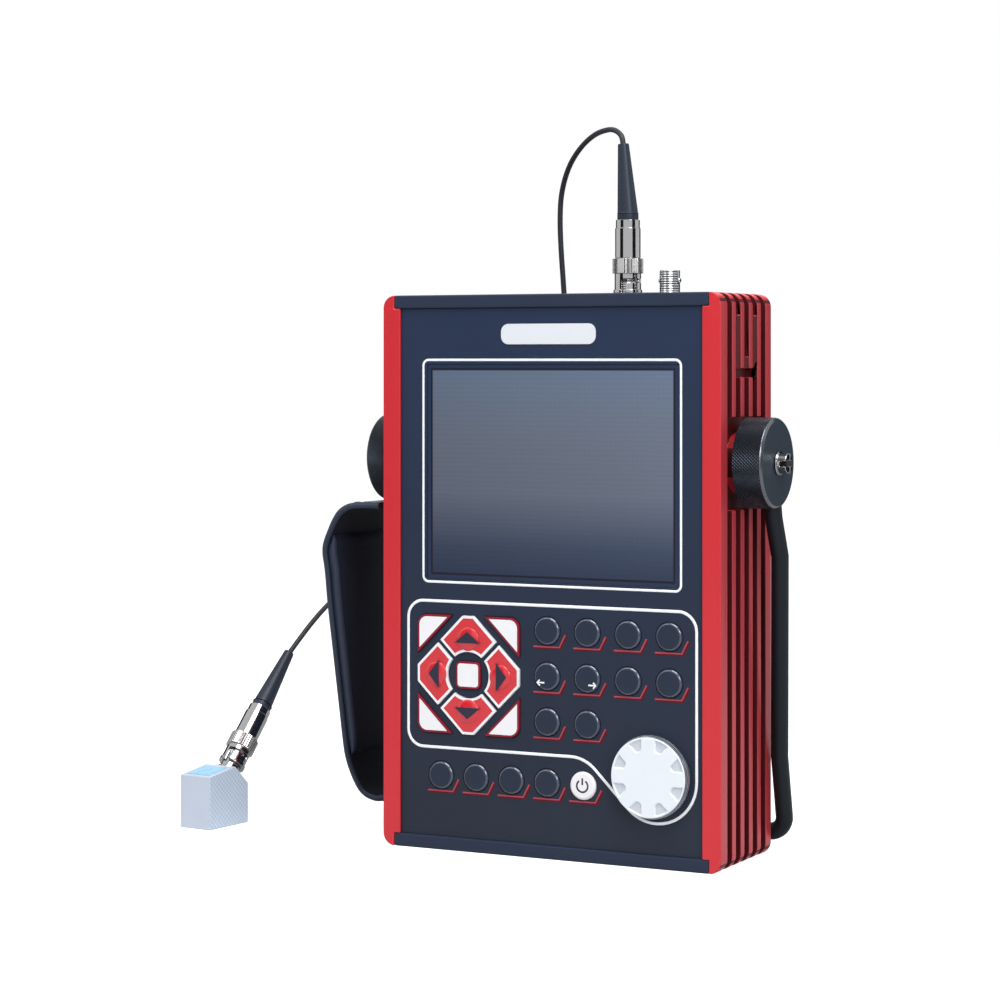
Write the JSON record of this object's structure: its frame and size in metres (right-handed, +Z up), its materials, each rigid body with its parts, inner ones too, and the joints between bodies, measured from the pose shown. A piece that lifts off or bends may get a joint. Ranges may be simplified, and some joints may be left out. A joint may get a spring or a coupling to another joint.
{
  "type": "ultrasonic flaw detector",
  "caption": "Portable ultrasonic flaw detector with red finned side rails, tilting carry handle, hand strap, keypad, dial and an angle probe on its lead.",
  "frame": {"origin": "middle of the flat underside of the case", "axes": "+X to the right seen from the front, the display faces -Y, +Z up"},
  "size_m": [0.3094, 0.1573, 0.3427],
  "materials": {
    "rail": "red anodised extrusion, satin",
    "shell": "dark blue-grey powder coat, fine",
    "white_plastic": "smooth white",
    "screen_glass": "smooth window over a dark screen",
    "module": "plain moulded",
    "board": "green solder mask",
    "dial_plastic": "smooth moulded white",
    "battery_wrap": "shrink film",
    "bright_metal": "nickel plated",
    "black_rubber": "smooth matt",
    "probe_metal": "cross-hatched, anodised clear",
    "wedge_plastic": "clear acrylic",
    "label_film": "smooth film, blank",
    "black_metal": "black coat, satin",
    "strap_leather": "smooth black",
    "strap_fabric": "woven lining",
    "key_rubber": "silk matt",
    "key_red": "satin"
  },
  "bodies": {
    "case": {"rail_left": "rail", "rail_right": "rail", "top_cap": "shell", "bottom_cap": "shell", "front_panel": "shell", "rear_cover": "shell", "battery_door": "shell", "name_badge": "white_plastic", "display_window": "screen_glass", "display_module": "module", "keypad_board": "board", "main_board": "board", "dial_encoder": "module", "battery_pack": "battery_wrap", "case_screws": "bright_metal", "signal_jacks": "bright_metal", "jack_nuts": "bright_metal", "plug_body_upper": "bright_metal", "plug_boot_upper": "black_rubber", "plug_body_lower": "bright_metal", "plug_boot_lower": "black_rubber", "probe_jack": "bright_metal", "probe_housing": "probe_metal", "probe_wedge": "wedge_plastic", "probe_label": "label_film", "cord_upper": "black_rubber", "cord_coil": "black_rubber", "cord_lower": "black_rubber", "pivot_bolts": "bright_metal"},
    "handle": {"handle_rod": "black_metal", "handle_hubs": "black_metal", "hand_strap": "strap_leather", "strap_pad": "strap_fabric"},
    "dial_body": {"dial": "dial_plastic"},
    "upper_collar_body": {"plug_collar_upper": "bright_metal"},
    "lower_collar_body": {"plug_collar_lower": "bright_metal"},
    "round_key_11_body": {"round_key_11": "key_rubber"},
    "round_key_12_body": {"round_key_12": "key_rubber"},
    "round_key_13_body": {"round_key_13": "key_rubber"},
    "round_key_14_body": {"round_key_14": "key_rubber"},
    "round_key_21_body": {"round_key_21": "key_rubber"},
    "round_key_22_body": {"round_key_22": "key_rubber"},
    "round_key_23_body": {"round_key_23": "key_rubber"},
    "round_key_24_body": {"round_key_24": "key_rubber"},
    "round_key_31_body": {"round_key_31": "key_rubber"},
    "round_key_32_body": {"round_key_32": "key_rubber"},
    "lower_key_1_body": {"lower_key_1": "key_rubber"},
    "lower_key_2_body": {"lower_key_2": "key_rubber"},
    "lower_key_3_body": {"lower_key_3": "key_rubber"},
    "lower_key_4_body": {"lower_key_4": "key_rubber"},
    "power_key_body": {"power_key": "white_plastic"},
    "cursor_up_body": {"cursor_up": "key_red"},
    "cursor_down_body": {"cursor_down": "key_red"},
    "cursor_left_body": {"cursor_left": "key_red"},
    "cursor_right_body": {"cursor_right": "key_red"},
    "cursor_enter_body": {"cursor_enter": "white_plastic"},
    "gain_down_key_body": {"gain_down_key": "white_plastic"},
    "gain_up_key_body": {"gain_up_key": "white_plastic"},
    "escape_key_body": {"escape_key": "white_plastic"},
    "confirm_key_body": {"confirm_key": "white_plastic"}
  },
  "joints": [
    {"name": "handle_swing", "type": "hinge", "parent": "case", "child": "handle", "pos_m": [0, 0, 0.1848], "axis": [1, 0, 0], "range_deg": [0, 168]},
    {"name": "dial_turn", "type": "hinge", "parent": "case", "child": "dial_body", "pos_m": [0.053, -0.0324, 0.0421], "axis": [0, -1, 0], "continuous": true},
    {"name": "upper_collar_lock", "type": "hinge", "parent": "case", "child": "upper_collar_body", "pos_m": [0.0273, 0, 0.2698], "axis": [0, 0, 1], "range_deg": [0, 85]},
    {"name": "lower_collar_lock", "type": "hinge", "parent": "case", "child": "lower_collar_body", "pos_m": [-0.18825, -0.00288, 0.03261], "axis": [0.0758, 0.6656, 0.7425], "range_deg": [0, 85]},
    {"name": "round_key_11_press", "type": "slide", "parent": "case", "child": "round_key_11_body", "axis": [0, 1, 0], "range_m": [0, 0.0006], "stiffness_N_per_m": 3300},
    {"name": "round_key_12_press", "type": "slide", "parent": "case", "child": "round_key_12_body", "axis": [0, 1, 0], "range_m": [0, 0.0006], "stiffness_N_per_m": 3300},
    {"name": "round_key_13_press", "type": "slide", "parent": "case", "child": "round_key_13_body", "axis": [0, 1, 0], "range_m": [0, 0.0006], "stiffness_N_per_m": 3300},
    {"name": "round_key_14_press", "type": "slide", "parent": "case", "child": "round_key_14_body", "axis": [0, 1, 0], "range_m": [0, 0.0006], "stiffness_N_per_m": 3300},
    {"name": "round_key_21_press", "type": "slide", "parent": "case", "child": "round_key_21_body", "axis": [0, 1, 0], "range_m": [0, 0.0006], "stiffness_N_per_m": 3300},
    {"name": "round_key_22_press", "type": "slide", "parent": "case", "child": "round_key_22_body", "axis": [0, 1, 0], "range_m": [0, 0.0006], "stiffness_N_per_m": 3300},
    {"name": "round_key_23_press", "type": "slide", "parent": "case", "child": "round_key_23_body", "axis": [0, 1, 0], "range_m": [0, 0.0006], "stiffness_N_per_m": 3300},
    {"name": "round_key_24_press", "type": "slide", "parent": "case", "child": "round_key_24_body", "axis": [0, 1, 0], "range_m": [0, 0.0006], "stiffness_N_per_m": 3300},
    {"name": "round_key_31_press", "type": "slide", "parent": "case", "child": "round_key_31_body", "axis": [0, 1, 0], "range_m": [0, 0.0006], "stiffness_N_per_m": 3300},
    {"name": "round_key_32_press", "type": "slide", "parent": "case", "child": "round_key_32_body", "axis": [0, 1, 0], "range_m": [0, 0.0006], "stiffness_N_per_m": 3300},
    {"name": "lower_key_1_press", "type": "slide", "parent": "case", "child": "lower_key_1_body", "axis": [0, 1, 0], "range_m": [0, 0.0006], "stiffness_N_per_m": 3300},
    {"name": "lower_key_2_press", "type": "slide", "parent": "case", "child": "lower_key_2_body", "axis": [0, 1, 0], "range_m": [0, 0.0006], "stiffness_N_per_m": 3300},
    {"name": "lower_key_3_press", "type": "slide", "parent": "case", "child": "lower_key_3_body", "axis": [0, 1, 0], "range_m": [0, 0.0006], "stiffness_N_per_m": 3300},
    {"name": "lower_key_4_press", "type": "slide", "parent": "case", "child": "lower_key_4_body", "axis": [0, 1, 0], "range_m": [0, 0.0006], "stiffness_N_per_m": 3300},
    {"name": "power_key_press", "type": "slide", "parent": "case", "child": "power_key_body", "axis": [0, 1, 0], "range_m": [0, 0.0006], "stiffness_N_per_m": 3300},
    {"name": "cursor_up_press", "type": "slide", "parent": "case", "child": "cursor_up_body", "axis": [0, 1, 0], "range_m": [0, 0.0006], "stiffness_N_per_m": 3300},
    {"name": "cursor_down_press", "type": "slide", "parent": "case", "child": "cursor_down_body", "axis": [0, 1, 0], "range_m": [0, 0.0006], "stiffness_N_per_m": 3300},
    {"name": "cursor_left_press", "type": "slide", "parent": "case", "child": "cursor_left_body", "axis": [0, 1, 0], "range_m": [0, 0.0006], "stiffness_N_per_m": 3300},
    {"name": "cursor_right_press", "type": "slide", "parent": "case", "child": "cursor_right_body", "axis": [0, 1, 0], "range_m": [0, 0.0006], "stiffness_N_per_m": 3300},
    {"name": "cursor_enter_press", "type": "slide", "parent": "case", "child": "cursor_enter_body", "axis": [0, 1, 0], "range_m": [0, 0.0006], "stiffness_N_per_m": 3300},
    {"name": "gain_down_key_press", "type": "slide", "parent": "case", "child": "gain_down_key_body", "axis": [0, 1, 0], "range_m": [0, 0.0006], "stiffness_N_per_m": 3300},
    {"name": "gain_up_key_press", "type": "slide", "parent": "case", "child": "gain_up_key_body", "axis": [0, 1, 0], "range_m": [0, 0.0006], "stiffness_N_per_m": 3300},
    {"name": "escape_key_press", "type": "slide", "parent": "case", "child": "escape_key_body", "axis": [0, 1, 0], "range_m": [0, 0.0006], "stiffness_N_per_m": 3300},
    {"name": "confirm_key_press", "type": "slide", "parent": "case", "child": "confirm_key_body", "axis": [0, 1, 0], "range_m": [0, 0.0006], "stiffness_N_per_m": 3300}
  ]
}
